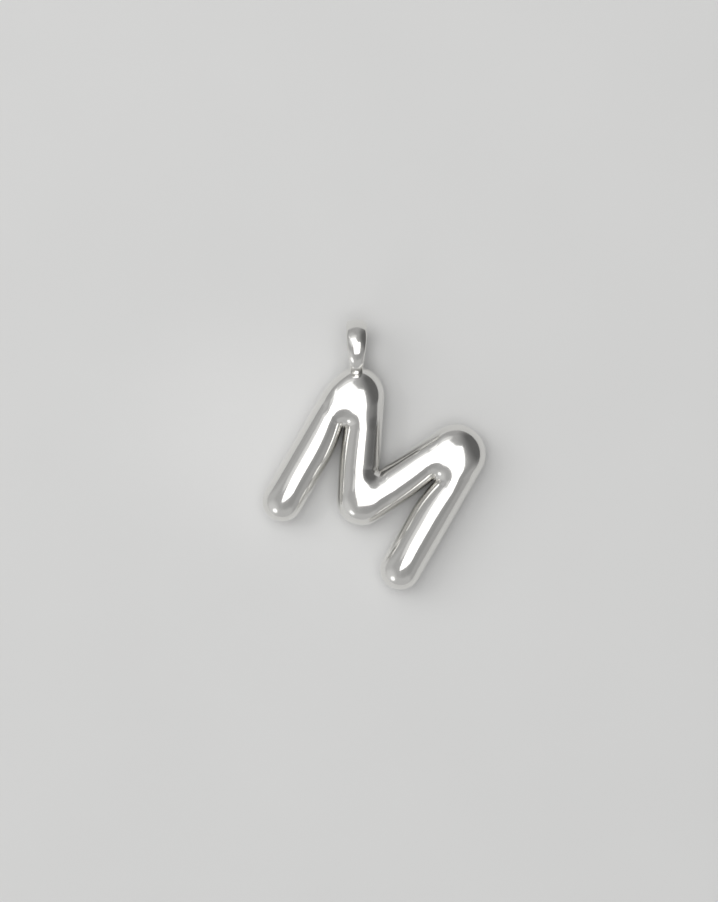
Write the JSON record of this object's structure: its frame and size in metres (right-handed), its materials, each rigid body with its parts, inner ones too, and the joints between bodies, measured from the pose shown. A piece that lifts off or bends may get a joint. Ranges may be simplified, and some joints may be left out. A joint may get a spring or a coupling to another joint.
{
  "type": "initial pendant",
  "caption": "Polished silver pendant shaped as an inflated letter M, with a tapered ring bail soldered to its left peak for a fine chain.",
  "frame": {"origin": "centre of the bail's bore, on the axis that the chain runs along", "axes": "+X along the bore, to the right of the pendant as worn; +Y up as worn, from the letter to the bail; +Z out of the letter's front, up from the table that it lies on"},
  "size_m": [0.0223, 0.027, 0.0056],
  "materials": {
    "silver": "mirror polish"
  },
  "bodies": {
    "root": {"pendant": "silver"}
  },
  "joints": []
}
